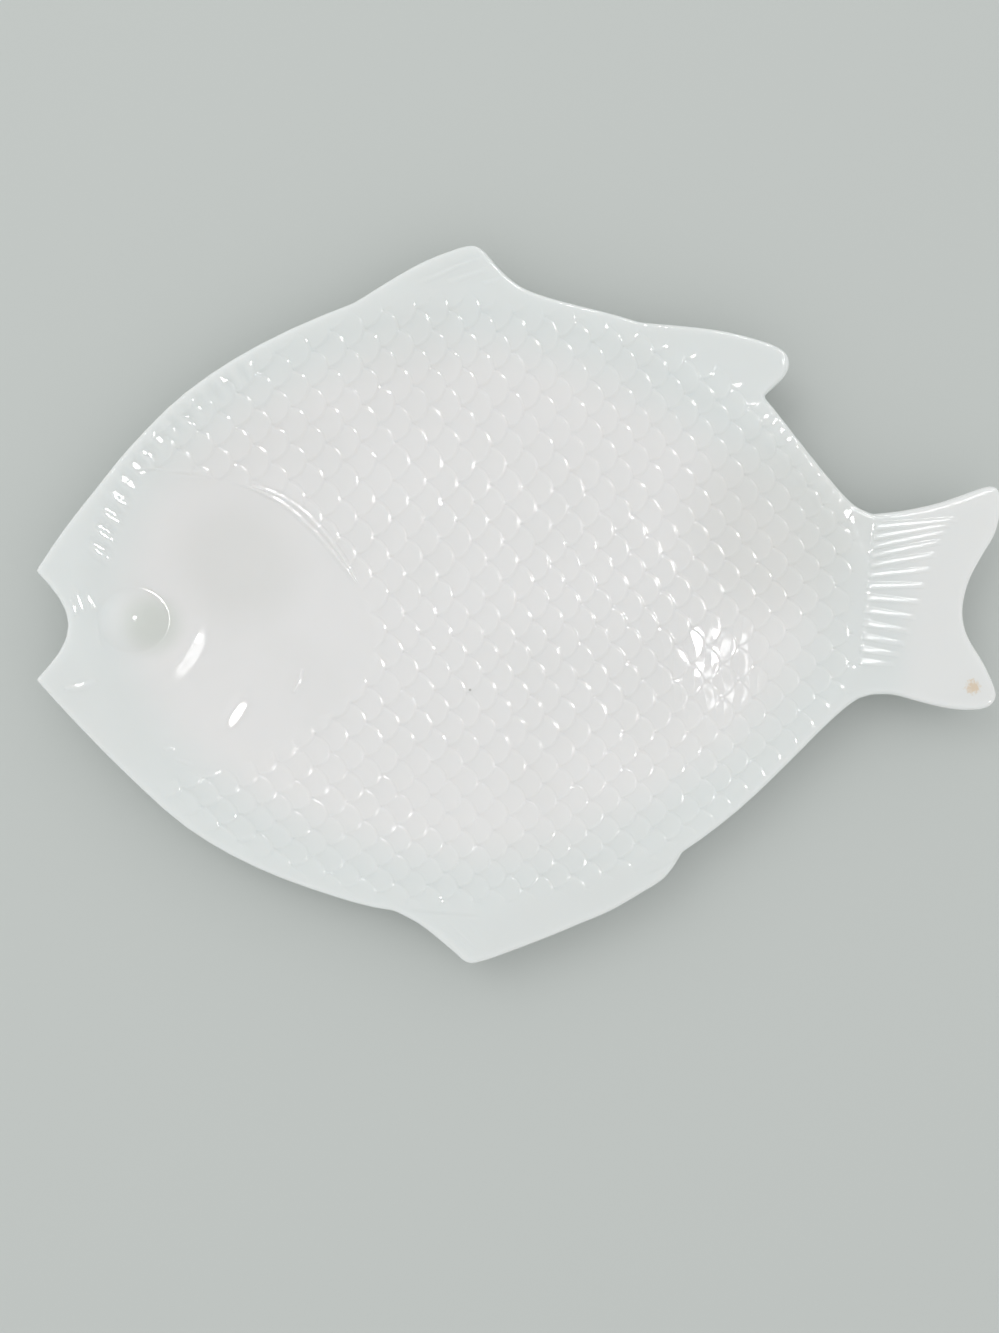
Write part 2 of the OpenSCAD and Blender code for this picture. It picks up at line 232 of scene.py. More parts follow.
def inward(loop):
    """Unit vectors in the plan that point from a loop to its inside."""
    way = np.roll(loop, -1, axis=0) - np.roll(loop, 1, axis=0)
    area = (loop[:, 0] * np.roll(loop[:, 1], -1) - np.roll(loop[:, 0], -1) * loop[:, 1]).sum()
    return left_of(way) * np.sign(area)


outline = even_loop(outer_loop(edge_zones), outline_step / 4)
outline = even_loop(eased_loop(outline, outline_step / 4, outline_ease), outline_step)
print("outline:", len(outline), "points,", round(len(outline) * outline_step / MM), "mm round")

# %% [markdown]
# ## Relief, laid out as the photograph shows it
# Scales, gill, rays and lips are moulded lines less than a millimetre high. They are drawn on a
# flat sheet at the height of the rim, where one pixel of the photograph has a known size, and
# carried down along the camera's rays onto the glass. So a line that is placed by a few pixels
# shows up at those pixels, and it is still real relief that can be seen from any side.

# %% Helpers for relief
def on_sheet(pixels):
    """Pixels of the photograph as points of the flat sheet, from the middle of the dish."""
    pixels = np.asarray(pixels, float)
    across, up = pixels[:, 0] - dish_middle_px[0], dish_middle_px[1] - pixels[:, 1]
    return np.stack([across, up], 1) * pixel_at_rim


def sheet_of(x, y):
    """Plan points of the glass carried up along the camera's rays to the flat sheet."""
    grow = (camera_place.z - rim_high.z) / (camera_place.z - plain_height(x, y))
    return (camera_place.x + (x - camera_place.x) * grow - dish_middle.x,
            camera_place.y + (y - camera_place.y) * grow - dish_middle.y)


def glass_of(x, y):
    """Plan points of the glass under points of the flat sheet."""
    across, down = dish_middle_px[0] + x / pixel_at_rim, dish_middle_px[1] - y / pixel_at_rim
    return on_glass(np.stack([across, down], 1))


def ease(low, high, value):
    """0 below low, 1 above high and a smooth passage between them."""
    t = np.clip((value - low) / (high - low), 0, 1)
    return t * t * (3 - 2 * t)


def bead(offset, half_width):
    """A rounded ridge of height 1 across its line."""
    return np.clip(1 - (offset / half_width) ** 2, 0, 1) ** 2


def roof(offset, half_width):
    """A ridge of height 1 with two flat faces across its line."""
    return np.clip(1 - np.abs(offset) / half_width, 0, 1)


def smooth_path(points, cuts=8):
    """A smooth line through a few points."""
    points = np.asarray(points, float)
    ends = np.vstack([2 * points[0] - points[1], points, 2 * points[-1] - points[-2]])
    t = np.linspace(0, 1, cuts, endpoint=False)[:, None]
    line = [
        ((2 * b) + (c - a) * t + (2 * a - 5 * b + 4 * c - d) * t**2 + (3 * b - a - 3 * c + d) * t**3) / 2
        for a, b, c, d in zip(ends, ends[1:], ends[2:], ends[3:])
    ]
    return np.vstack([*line, points[-1:]])


def beside(path, x, y):
    """Distance of points to the left of a path, and the share of the path's length they lie at."""
    steps = np.diff(path, axis=0)
    lengths = np.hypot(*steps.T)
    way = np.concatenate([[0], np.cumsum(lengths)])
    best, side, share = np.full(np.shape(x), np.inf), np.zeros(np.shape(x)), np.zeros(np.shape(x))
    for (x0, y0), (dx, dy), length, start in zip(path, steps, lengths, way):
        t = np.clip(((x - x0) * dx + (y - y0) * dy) / length**2, 0, 1)
        gap = np.hypot(x - x0 - dx * t, y - y0 - dy * t)
        left = np.sign(dx * (y - y0) - dy * (x - x0))
        near = gap < best
        best = np.where(near, gap, best)
        side = np.where(near, left, side)
        share = np.where(near, (start + t * length) / way[-1], share)
    return best * np.where(side < 0, -1, 1), share


print("one pixel is", round(pixel_at_rim / MM, 3), "mm on the sheet")

# %% [markdown]
# ## Scales
# Each scale is a thin disc that rises toward the tail and ends in a rounded free edge, with the
# disc behind it tucked underneath. A real mould has every scale cut by hand. Here one rule makes
# them all: the sheet is bent so that the rows become straight, a brickwork of discs is laid in
# the rows, and of all the tilted discs over a point the highest one is kept. That is what a roof
# of overlapping tiles is. The rows lean down toward the tail, follow the back and the belly, and
# close up at both ends, as on the photograph.

# %% Scales
scale_pitch, scale_row, scale_radius = 11.9 * MM, 7.2 * MM, 7.7 * MM
scale_lift = 0.40 * MM
scale_round_share, scale_fall = 0.175, 1.25
scale_blend = 0.03
row_lean, column_lean, row_bow, bow_reach = 0.05, 0.039, 0.24, 150 * MM
belly_closing, head_opening = 1.1e-5 / MM**2, 0.88e-3 / MM
first_scale_column, first_scale_row = -2.144, 4.066
bend_rounds, nothing = 12, 1e-12


def scale_relief(x, y):
    """Height of the overlapping discs over points of the sheet."""
    row = (y + row_lean * x) * np.exp(row_bow * (x / bow_reach) ** 2)
    row = (row + belly_closing * np.minimum(row, 0) ** 3) / scale_row - first_scale_row
    column = x - column_lean * y
    column = (column + head_opening * np.minimum(column, 0) ** 2) / scale_pitch - first_scale_column
    total = np.zeros(np.shape(x))
    for up in (-1, 0, 1, 2):
        disc_row = np.floor(row) + up
        shift = 0.5 * np.mod(disc_row, 2)
        for along in (0, 1):
            ahead = (column - shift - np.floor(column - shift) - along) * scale_pitch / scale_radius
            aside = (row - disc_row) * scale_row / scale_radius
            past = np.maximum(np.hypot(ahead, aside) - 1 + scale_round_share, 0) / scale_round_share
            total += np.exp((ahead - scale_fall * past**2) / scale_blend)
    return scale_lift * scale_blend * np.log(total + nothing)


def scale_place(column, row):
    """Points of the sheet at places of the brickwork: the bend of the rows worked backward."""
    column = (column + first_scale_column) * scale_pitch
    row = (row + first_scale_row) * scale_row
    back = np.minimum(column, 0)
    u = np.maximum(column, 0) + (np.sqrt(1 + 4 * head_opening * back) - 1) / (2 * head_opening)
    low = np.minimum(row, 0)
    v = low.copy()
    for _ in range(bend_rounds):
        v = v - (v + belly_closing * v**3 - low) / (1 + 3 * belly_closing * v**2)
    v = v + np.maximum(row, 0)
    x, y = u, v
    for _ in range(bend_rounds):
        y = v * np.exp(-row_bow * (x / bow_reach) ** 2) - row_lean * x
        x = u + column_lean * y
    return x, y


sample = scale_relief(*np.meshgrid(np.linspace(-60, 60, 241) * MM, np.linspace(-40, 40, 161) * MM))
print("scales rise and fall by", round((sample.max() - sample.min()) / MM, 2), "mm")

# %% [markdown]
# ## Head: gill, eye and lips
# The head is smooth up to the gill. The gill's edge is a double ridge that shows as two thin
# bright lines on its upper part; further down it is one faint swelling. The eye is a plain dome
# where the frame has its dome, and a soft lid swells behind it. Short lines follow the corner of
# the mouth, the lips, the cheek and the fins. Each line is a few pixels chosen on the photograph,
# its half width and its height in millimetres. Broad ones are rounded, thin ones have two flat
# faces, because a flat face throws a clear glint.

# %% Lines of the head
gill_px = [(233, 484), (260, 490), (290, 505), (320, 532), (340, 557), (354, 578), (368, 605), (376, 635),
           (372, 665), (355, 692), (320, 722), (264, 756), (235, 768)]
gill_path = smooth_path(on_sheet(gill_px))
gill_spread, gill_face_lean, gill_height = 1.3 * MM, 0.6, 0.6 * MM
gill_faint_half_width, gill_faint_height_share = 2.6 * MM, 0.28
gill_faint_in, gill_faint_out = (0.30, 0.45), (1.0, 0.85)
gill_bright_share, gill_start_share, gill_fade_share = 0.41, 0.08, 0.85
broad_line = 2.0
head_edge = 1.2 * MM
head_rows_px = [(20, 470), (163, 470), (210, 477), (243, 486)]
throat_rows_px = [(235, 768), (190, 776), (20, 800)]
head_limit = np.vstack([on_sheet(head_rows_px), gill_path[8:], on_sheet(throat_rows_px)])

moulded_lines = {
    "mouth corner": ([(71, 600), (73, 608), (75, 616)], 1.0, 0.30),
    "mouth fold": ([(75, 589), (78, 600), (82, 612)], 1.0, 0.24),
    "lip fold": ([(84, 592), (88, 600), (93, 610)], 1.2, 0.15),
    "lower lip": ([(64, 689), (80, 687), (97, 681)], 1.6, 0.34),
    "brow line": ([(140, 466), (175, 471), (212, 472)], 0.9, 0.16),
    "lower brow line": ([(165, 475), (185, 477), (214, 478)], 0.9, 0.14),
    "cheek fold behind the lips": ([(218, 727), (231, 711), (244, 694)], 5.0, 0.62),
    "gill's lower stroke": ([(294, 693), (299, 681), (302, 669)], 1.0, 0.60),
    "throat line": ([(164, 750), (169, 748), (174, 747)], 1.0, 0.30),
    "lower throat line": ([(175, 758), (184, 761), (192, 764)], 1.0, 0.32),
    "tall fin's first ray": ([(418, 283), (450, 269), (482, 256)], 1.0, 0.34),
    "tall fin's second ray": ([(448, 282), (468, 275), (488, 268)], 1.0, 0.34),
    "tall fin's third ray": ([(482, 283), (491, 281), (501, 278)], 1.0, 0.30),
    "belly fin's crease": ([(408, 911), (445, 914), (480, 917)], 0.9, -0.22),
    "belly fin's first ray": ([(428, 921), (447, 937), (466, 955)], 1.1, 0.14),
    "belly fin's second ray": ([(446, 921), (461, 935), (476, 950)], 1.1, 0.14),
    "belly fin's third ray": ([(466, 923), (477, 934), (487, 945)], 1.1, 0.12),
    "rear belly fin's crease": ([(645, 877), (664, 867), (682, 856)], 0.9, -0.20),
}
line_paths = {name: smooth_path(on_sheet(pixels)) for name, (pixels, _, _) in moulded_lines.items()}


def gill_shape(share):
    """Height of the gill's double ridge, 0 to 1, and its half spread, at a share of its length."""
    swell = np.sin(np.pi * np.clip(share / gill_bright_share, 0, 1))
    fade = ease(gill_bright_share, gill_fade_share * gill_bright_share, share)
    return ease(0, gill_start_share, share) * fade, gill_spread * swell


def line_relief(x, y):
    """Height of the gill's double ridge and of the short moulded lines over points of the sheet."""
    offset, share = beside(gill_path, x, y)
    bright, spread = gill_shape(share)
    faint = gill_faint_height_share * ease(*gill_faint_in, share) * ease(*gill_faint_out, share)
    double = np.minimum(np.abs(offset - spread), np.abs(offset + spread))
    height = np.maximum(gill_height * bright - gill_face_lean * double, 0)
    height = np.maximum(height, gill_height * faint * bead(offset, gill_faint_half_width))
    for name, (_, half_width, crest) in moulded_lines.items():
        offset, share = beside(line_paths[name], x, y)
        ridge = bead if half_width > broad_line else roof
        across = ridge(offset, half_width * MM)
        height = height + crest * MM * across * np.sqrt(np.sin(np.pi * share))
    return height


def on_head(x, y):
    """1 on the smooth head in front of the gill, 0 behind it."""
    limit = np.interp(-y, -head_limit[:, 1], head_limit[:, 0])
    return ease(head_edge, -head_edge, x - limit)


print("head:", len(moulded_lines), "short lines, gill", len(gill_path), "points")

# %% Eye
eye_low, eye_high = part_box("eye")
eye_middle, eye_radius = (eye_low + eye_high) / 2, (eye_high.x - eye_low.x) / 2
eye_lift, eye_roundness = 3.0 * MM, 1.5
lid_radius, lid_half_width, lid_height = 21.5 * MM, 7.0 * MM, 0.62 * MM
lid_turn, lid_fading = math.radians(-36), 5.5


def eye_relief(x, y):
    """Height of the eye's dome over plan points, with the lid behind it."""
    r = np.hypot(x - eye_middle.x, y - eye_middle.y)
    dome = eye_lift * np.clip(1 - (r / eye_radius) ** 2, 0, 1) ** eye_roundness
    behind = np.arctan2(y - eye_middle.y, x - eye_middle.x) - lid_turn
    behind = np.clip(0.5 + 0.5 * np.cos(behind), 0, 1) ** lid_fading
    return dome + behind * lid_height * bead(r - lid_radius, lid_half_width)


print("eye:", round(2 * eye_radius / MM, 1), "mm across")

# %% [markdown]
# ## Tail rays and the fluted forehead
# Thirteen rays run out over the root of the tail. Each has a flat top that leans to one side. They
# lean apart like the ribs of a fan, but the outermost ones straighten again, which a sine gives.
# Along the forehead and along the upper edge of the stem the shoulder of the rim is fluted: a row
# of shallow waves breaks the reflection there into a string of beads.

# %% Tail rays
ray_count = 13
ray_half_count = ray_count // 2
ray_middle_px, ray_step_px, ray_bow_px = (866, 594.5), 11.2, 9.0
ray_lean_share, ray_length_px, ray_shorter_px, ray_shift_px = 0.2, 62, 4.2, 1.2
ray_half_width, ray_height = 1.6 * MM, 0.58 * MM
ray_flat_share, ray_lean, ray_sinking = 0.55, 0.38, 0.6
ray_lean_step, ray_narrowing = 0.042, 0.3
ray_start_share, ray_end_share = 0.04, 0.88
ray_paths = []
for k in range(-ray_half_count, ray_half_count + 1):
    turn = math.pi * k / (ray_half_count + 1)
    start_y = ray_middle_px[1] + ray_step_px * k - ray_bow_px * math.cos(turn / 2) ** 2
    run = ray_length_px - ray_shorter_px * k
    lean = ray_lean_share * math.sin(turn)
    start = (ray_middle_px[0] - ray_shift_px * k, start_y)
    ray_paths.append(on_sheet([start, (start[0] + run, start_y + lean * run)]))


def ray_relief(x, y):
    """Height of the tail rays over points of the sheet: leaning tops that sink to the tips."""
    height = np.zeros(np.shape(x))
    for k, path in enumerate(ray_paths):
        offset, share = beside(path, x, y)
        across = offset / (ray_half_width * (1 - ray_narrowing * share))
        lean = ray_lean * (1 + ray_lean_step * (k - ray_half_count))
        top = (1 - lean) - lean * np.clip(across, -1, 1)
        top = top * ease(1, ray_flat_share, np.abs(across))
        ends = ease(0, ray_start_share, share) * ease(1, ray_end_share, share)
        height = np.maximum(height, ray_height * top * (1 - ray_sinking * share) * ends)
    return height


print("tail:", len(ray_paths), "rays")

# %% Flutes
# Each run: its first and last pixel, the step of its waves, their height, and the band that they
# fill, from its inner to its outer distance from the dish's edge.
flute_fade_in, flute_fade_out = 4 * MM, 5 * MM
flute_runs = {
    "forehead": ((62, 545), (262, 352), 6.8 * MM, 0.26 * MM, -5 * MM, 7 * MM),
    "upper stem": ((768, 395), (862, 514), 8.6 * MM, 0.16 * MM, -5 * MM, 15 * MM),
}


def flute_relief(arc, outside):
    """Height of the flutes, by the way round the body and the distance from the dish's edge."""
    height = np.zeros(np.shape(arc))
    for start_px, end_px, step, crest, low, reach in flute_runs.values():
        band = ease(low, low + flute_fade_in, outside) * ease(reach, reach - flute_fade_out, outside)
        start, end = sorted(map(nearest_mark, (start_px, end_px)))
        run = ease(start, start + step, arc) * ease(end, end - step, arc)
        height += crest * band * run * np.cos(2 * np.pi * (arc - start) / step)
    return height


print("flutes:", ", ".join(flute_runs))

# %% [markdown]
# ## The skin of the platter
# The upper face could be a grid pushed up and down, but a square grid shows its steps at the edge
# and wastes faces on smooth glass. So the face is a triangle net over nested lattices: coarse where
# the glass is plain, twice as fine on the fluted shoulders, and twice as fine again along the thin
# lines. Free edges of scales and sharp ridges get points of their own. A Delaunay net joins all of
# them to the outline without a gap. Its height is the plain dish plus all the relief.

# %% Where a point lies on the body
net_step, lattice_sizes = 0.46 * MM, (2, 4, 8)
body_loop = even_loop(outer_loop(("rim",)), outline_step)


def nearest(loop, x, y):
    """Distance of points to a loop of close points, and the number of the nearest one."""
    tree = kdtree.KDTree(len(loop))
    for number, (a, b) in enumerate(loop):
        tree.insert((a, b, 0), number)
    tree.balance()
    found = [tree.find((a, b, 0)) for a, b in zip(x, y)]
    return np.array([gap for _, _, gap in found]), np.array([number for _, number, _ in found])


def within(loop, x, y):
    """True for points inside a closed loop: a line to the right crosses it an odd number of times."""
    inside = np.zeros(np.shape(x), bool)
    for (x0, y0), (x1, y1) in zip(loop, np.roll(loop, -1, axis=0)):
        rows = np.nonzero((y0 > y) != (y1 > y))[0]
        cross = x0 + (y[rows] - y0) * (x1 - x0) / (y1 - y0)
        inside[rows] ^= x[rows] < cross
    return inside


def way_round(x, y, mark):
    """Way round the body of plan points; mark is the number of the loop point nearest to each."""
    along = (np.roll(body_loop, -1, axis=0) - np.roll(body_loop, 1, axis=0))[mark] / 2
    past = np.stack([x, y], 1) - body_loop[mark]
    return (mark + (past * along).sum(1) / (along**2).sum(1)) * outline_step


def nearest_mark(pixel):
    """Way round the body to the place of its edge that is nearest to a pixel."""
    place = on_sheet([pixel])[0] + np.array(dish_middle.xy)
    return np.argmin(np.hypot(*(body_loop - place).T)) * outline_step


print("body:", len(body_loop), "mm round")

# %% [markdown]
# ## All relief together
# The scales fade out toward the edge of the body, toward the tail and in front of the gill. The
# lines, the eye, the rays and the flutes are added on top.

# %% Relief of the whole upper face
scale_edge_low, scale_edge_high = 1.5 * MM, 9 * MM
scale_end_low, scale_end_high = 138 * MM, 147 * MM


def relief(x, y):
    """Height of all moulded relief over plan points."""
    sheet_x, sheet_y = sheet_of(x, y)
    gap, mark = nearest(body_loop, x, y)
    gap = np.where(within(body_loop, x, y), gap, -gap)
    scaled = ease(scale_edge_low, scale_edge_high, gap) * ease(scale_end_high, scale_end_low, sheet_x)
    scaled = scaled * (1 - on_head(sheet_x, sheet_y))
    flutes = flute_relief(way_round(x, y, mark), edge_distance(x, y))
    return (scaled * scale_relief(sheet_x, sheet_y) + line_relief(sheet_x, sheet_y)
            + eye_relief(x, y) + ray_relief(sheet_x, sheet_y) + flutes)


def top_height(x, y):
    """Height of the finished upper face over plan points."""
    return plain_height(x, y) + relief(x, y)


eye_top = top_height(np.array([eye_middle.x]), np.array([eye_middle.y]))[0]
print("eye's top", round(eye_top / MM, 1), "mm over the table")

# %% [markdown]
# ## The rounded edge
# The upper face ends a little inside the outline, and a half round runs from there over the edge to
# the underside. Where the outline turns sharply, the moved loop would cross itself: such places are
# averaged with their neighbours until they don't.

# %% Loop where the edge meets the upper face
edge_inset = 1.9 * MM
untangle_rounds, crossed_share, untangle_reach = 60, 0.1, 4


def inset_loop(loop, depth):
    """A loop moved inward, with places that would cross themselves pulled apart."""
    moved = loop + inward(loop) * depth
    steps = np.roll(loop, -1, axis=0) - loop
    for _ in range(untangle_rounds):
        new_steps = np.roll(moved, -1, axis=0) - moved
        crossed = (new_steps * steps).sum(1) < crossed_share * (steps**2).sum(1)
        if not crossed.any():
            break
        spread = crossed.copy()
        for k in range(1 - untangle_reach, untangle_reach + 1):
            spread |= np.roll(crossed, k)
        middle = (np.roll(moved, 1, axis=0) + np.roll(moved, -1, axis=0)) / 2
        moved[spread] = middle[spread]
    return moved, int(crossed.sum())


edge_loop, tangles = inset_loop(outline, edge_inset)
print("edge:", len(edge_loop), "points,", tangles, "tangled")

# %% [markdown]
# ## Points of the net
# First the lattices give their points, each as fine as its place wants. Then the free edge of every
# scale gets rows of points that follow it, because a lattice would break the edge into teeth. The
# sharpest ridges get rows along both faces for the same reason. Lattice points that come too near
# to such a row are left out.

# %% Points of the lattices
line_reach, eye_foot_reach = 2.2 * MM, 2.5 * MM
line_level, flute_level, plain_level, under_level = 0, 1, 2, 3
top_margin, under_margin = 0.5 * MM, 1.0 * MM


def near_lines(x, y):
    """True for plan points near a thin line, where the net is finest."""
    sheet_x, sheet_y = sheet_of(x, y)
    bright_gill = gill_path[:int(len(gill_path) * gill_bright_share) + 2]
    near = np.abs(beside(bright_gill, sheet_x, sheet_y)[0]) < gill_spread + line_reach
    thin_lines = [path for name, path in line_paths.items() if moulded_lines[name][1] < broad_line]
    for path in [*thin_lines, *ray_paths]:
        near |= np.abs(beside(path, sheet_x, sheet_y)[0]) < line_reach
    eye_foot = np.hypot(x - eye_middle.x, y - eye_middle.y) - eye_radius
    return near | (np.abs(eye_foot) < eye_foot_reach)


def near_flutes(x, y):
    """True for plan points on the fluted shoulders."""
    near, outside = np.zeros(np.shape(x), bool), edge_distance(x, y)
    arc = nearest(body_loop, x, y)[1] * outline_step
    for start_px, end_px, _, _, low, reach in flute_runs.values():
        start, end = sorted(map(nearest_mark, (start_px, end_px)))
        near |= (arc > start) & (arc < end) & (outside > low) & (outside < reach)
    return near


def lattice(low, high, step):
    """Points of a triangle lattice over a box, and how coarse a net each one belongs to."""
    row_step = step * math.sqrt(3) / 2
    row, column = np.meshgrid(
        np.arange(math.ceil((high.y - low.y) / row_step)),
        np.arange(-math.ceil((high.y - low.y) / row_step / 2), math.ceil((high.x - low.x) / step)))
    row, column = row.ravel(), column.ravel()
    x, y = low.x + step * (column + row / 2), low.y + row_step * row
    level = sum(((row % size == 0) & (column % size == 0)).astype(int) for size in lattice_sizes)
    kept = (x > low.x) & (x < high.x)
    return x[kept], y[kept], level[kept]


def on_scales(x, y):
    """True for plan points where the scales are moulded."""
    sheet_x, sheet_y = sheet_of(x, y)
    gap = np.where(within(body_loop, x, y), nearest(body_loop, x, y)[0], -1)
    return (gap > scale_edge_low) & (sheet_x < scale_end_high) & (on_head(sheet_x, sheet_y) < 1)


net_x, net_y, net_level = lattice(cad_low, cad_high, net_step)
inside = within(edge_loop, net_x, net_y)
net_x, net_y, net_level = net_x[inside], net_y[inside], net_level[inside]
edge_gap, _ = nearest(edge_loop, net_x, net_y)
wanted = np.where(near_flutes(net_x, net_y), flute_level, plain_level)
wanted = np.where(near_lines(net_x, net_y), line_level, wanted)
top_kept = (net_level >= wanted) & (edge_gap > top_margin)
under_kept = (net_level >= under_level) & (edge_gap > under_margin)
print("net:", int(top_kept.sum()), "points above,", int(under_kept.sum()), "below")

# %% Points along the free edge of every scale
free_turns = np.radians(np.arange(-75, 76, 10))
free_shares = np.array([0.815, 0.855, 0.89, 0.925, 0.96, 1.0])
row_range, column_range = np.arange(-26, 20), np.arange(-16, 18)
covered_share, last_row_covered_share, last_row_share = 0.15, 0.6, 0.95
free_gap = 0.25 * MM

turn, share, disc_row, disc = (part.ravel() for part in np.meshgrid(
    free_turns, free_shares, row_range, column_range, indexing="ij"))
ahead, aside = share * np.cos(turn), share * np.sin(turn)
edge_x, edge_y = scale_place(disc + 0.5 * np.mod(disc_row, 2) + ahead * scale_radius / scale_pitch,
                             disc_row + aside * scale_radius / scale_row)
past = np.maximum(np.minimum(share, last_row_share) - 1 + scale_round_share, 0) / scale_round_share
own = ahead - scale_fall * past**2
covering = np.where(share > last_row_share, last_row_covered_share, covered_share)
kept = scale_relief(edge_x, edge_y) / scale_lift - own < covering
kept &= (np.abs(edge_x) < dish_half_length + rim_width) & (np.abs(edge_y) < dish_half_width + rim_width)
edge_x, edge_y = edge_x[kept], edge_y[kept]
free_plan = glass_of(edge_x, edge_y)
kept = within(edge_loop, *free_plan.T) & on_scales(*free_plan.T)
free_plan = free_plan[kept]
free_plan = free_plan[nearest(edge_loop, *free_plan.T)[0] > top_margin]
cells = np.round(free_plan / free_gap).astype(int)
free_plan = free_plan[np.unique(cells, axis=0, return_index=True)[1]]
print("scales:", len(free_plan), "points on free edges")

# %% Points on the faces of the sharpest ridges
ridge_cuts, ridge_shares = 40, (-1, -0.66, -0.33, 0, 0.33, 0.66, 1)
sharp_lines = ("mouth corner", "mouth fold", "lower lip", "gill's lower stroke")
lit_share, plate_gap = 0.1, 0.55 * MM


def ridge_points(path, crest, half_width):
    """Plan points on both faces of a ridge whose crest runs at a distance left of a path."""
    left = left_of(np.gradient(path, axis=0))
    rows = [path + left * np.reshape(crest + share * half_width, (-1, 1)) for share in ridge_shares]
    return glass_of(*np.vstack(rows).T)


fine_gill = smooth_path(on_sheet(gill_px), ridge_cuts)
bright, spread = gill_shape(beside(gill_path, *fine_gill.T)[1])
lit = bright > lit_share
gill_half_width = bright[lit] * gill_height / gill_face_lean
ridge_plan = [ridge_points(fine_gill[lit], side * spread[lit], gill_half_width) for side in (-1, 1)]
for name in sharp_lines:
    pixels, half_width, _ = moulded_lines[name]
    ridge_plan.append(ridge_points(smooth_path(on_sheet(pixels), ridge_cuts // 2), 0, half_width * MM))
ridge_plan = np.vstack(ridge_plan)
free_plan = np.vstack([free_plan[nearest(ridge_plan, *free_plan.T)[0] > free_gap], ridge_plan])
top_x, top_y = net_x[top_kept], net_y[top_kept]
clear = (nearest(free_plan, top_x, top_y)[0] > plate_gap) | near_lines(top_x, top_y)
clear &= nearest(ridge_plan, top_x, top_y)[0] > free_gap
top_x, top_y = np.vstack([np.stack([top_x[clear], top_y[clear]], 1), free_plan]).T
print("ridges:", len(ridge_plan), "points,", len(top_x), "points above in all")

# %% [markdown]
# ## Upper net, edge and underside
# The net is laid twice over the same border loop, fine above and coarse below, and rings of points
# carry the border round the edge.

# %% Skin of the platter
inside_only, join_reach = 1, 1e-9
edge_turns = [math.radians(degrees) for degrees in (90, 67.5, 45, 22.5, 0, -30, -60, -90)]


def net_over(loop, x, y):
    """Triangle net inside a loop over free points: its plan points, the loop's first, and its faces."""
    points = np.vstack([loop, np.stack([x, y], 1)])
    ring = [(k, (k + 1) % len(loop)) for k in range(len(loop))]
    made, _, faces, *_ = delaunay_2d_cdt([Vector(p) for p in points], ring, [], inside_only, join_reach)
    return np.array([tuple(p) for p in made]), np.array(faces)


top_plan, top_faces = net_over(edge_loop, top_x, top_y)
under_plan, under_faces = net_over(edge_loop, net_x[under_kept], net_y[under_kept])
count = len(outline)
top_z = top_height(*top_plan.T)
under_z = plain_height(*under_plan.T) - glass_thickness
edge_z = (top_z[:count] + under_z[:count]) / 2
half = (top_z[:count] - under_z[:count]) / 2
rings = []
for turn in edge_turns[1:-1]:
    ring_plan = outline + (edge_loop - outline) * (1 - math.cos(turn))
    rings.append(np.column_stack([ring_plan, edge_z + half * math.sin(turn)]))
top_points = np.column_stack([top_plan, top_z])
under_points = np.column_stack([under_plan, under_z])
ring_start = len(top_points)
under_start = ring_start + len(rings) * count
skin_points = np.vstack([top_points, *rings, under_points])
ring_bases = [0, *(ring_start + k * count for k in range(len(rings))), under_start]
step_on = (np.arange(count) + 1) % count
edge_faces = np.vstack([
    np.column_stack([a + np.arange(count), b + np.arange(count), b + step_on, a + step_on])
    for a, b in zip(ring_bases, ring_bases[1:])
])
triangles = len(top_faces) + 2 * len(edge_faces) + len(under_faces)
print("skin:", len(skin_points), "points,", triangles, "triangles")

# %% [markdown]
# ## One closed piece
# The upper net, the rounded edge and the underside share their border points, so they make one
# watertight mesh. Each of the three also gets its own place on a square sheet, where a finish can be
# painted flat. A number on every point says how far up toward the rim it lies, and the glass gets a
# cooler, greyer tone there. On the tail the number is smaller.

# %% Platter
sheet_top = ((0.01, 0.28), (0.98, 0.71))
sheet_under = ((0.01, 0.01), (0.34, 0.25))
sheet_edge = ((0.38, 0.02), (0.61, 0.22))
tail_pale_share, tail_pale_low, tail_pale_high = 0.55, 138 * MM, 152 * MM
tint_low, tint_high = -24 * MM, 2 * MM


def flat_place(plan, place):
    """Plan points as places inside one rectangle of the square sheet."""
    (u, v), (wide, high) = place
    span = max((cad_high.x - cad_low.x) / wide, (cad_high.y - cad_low.y) / high)
    return np.column_stack([u + (plan[:, 0] - cad_low.x) / span, v + (plan[:, 1] - cad_low.y) / span])


def strip_place(number, row, rows, place):
    """Places along a strip that is laid into one rectangle of the square sheet."""
    (u, v), (wide, high) = place
    return np.column_stack([u + wide * number, np.full(len(number), v + high * row / rows)])


def closed_mesh(name, points, faces, corner_places):
    """A smooth mesh from points and faces, with a place on the square sheet for every corner."""
    mesh = bpy.data.meshes.new(name)
    mesh.from_pydata(points.tolist(), [], [face.tolist() for part in faces for face in part])
    mesh.uv_layers.new(name="OFBake").data.foreach_set("uv", np.vstack(corner_places).ravel())
    mesh.shade_smooth()
    piece = bpy.data.objects.new(name, mesh)
    bpy.context.scene.collection.objects.link(piece)
    return piece


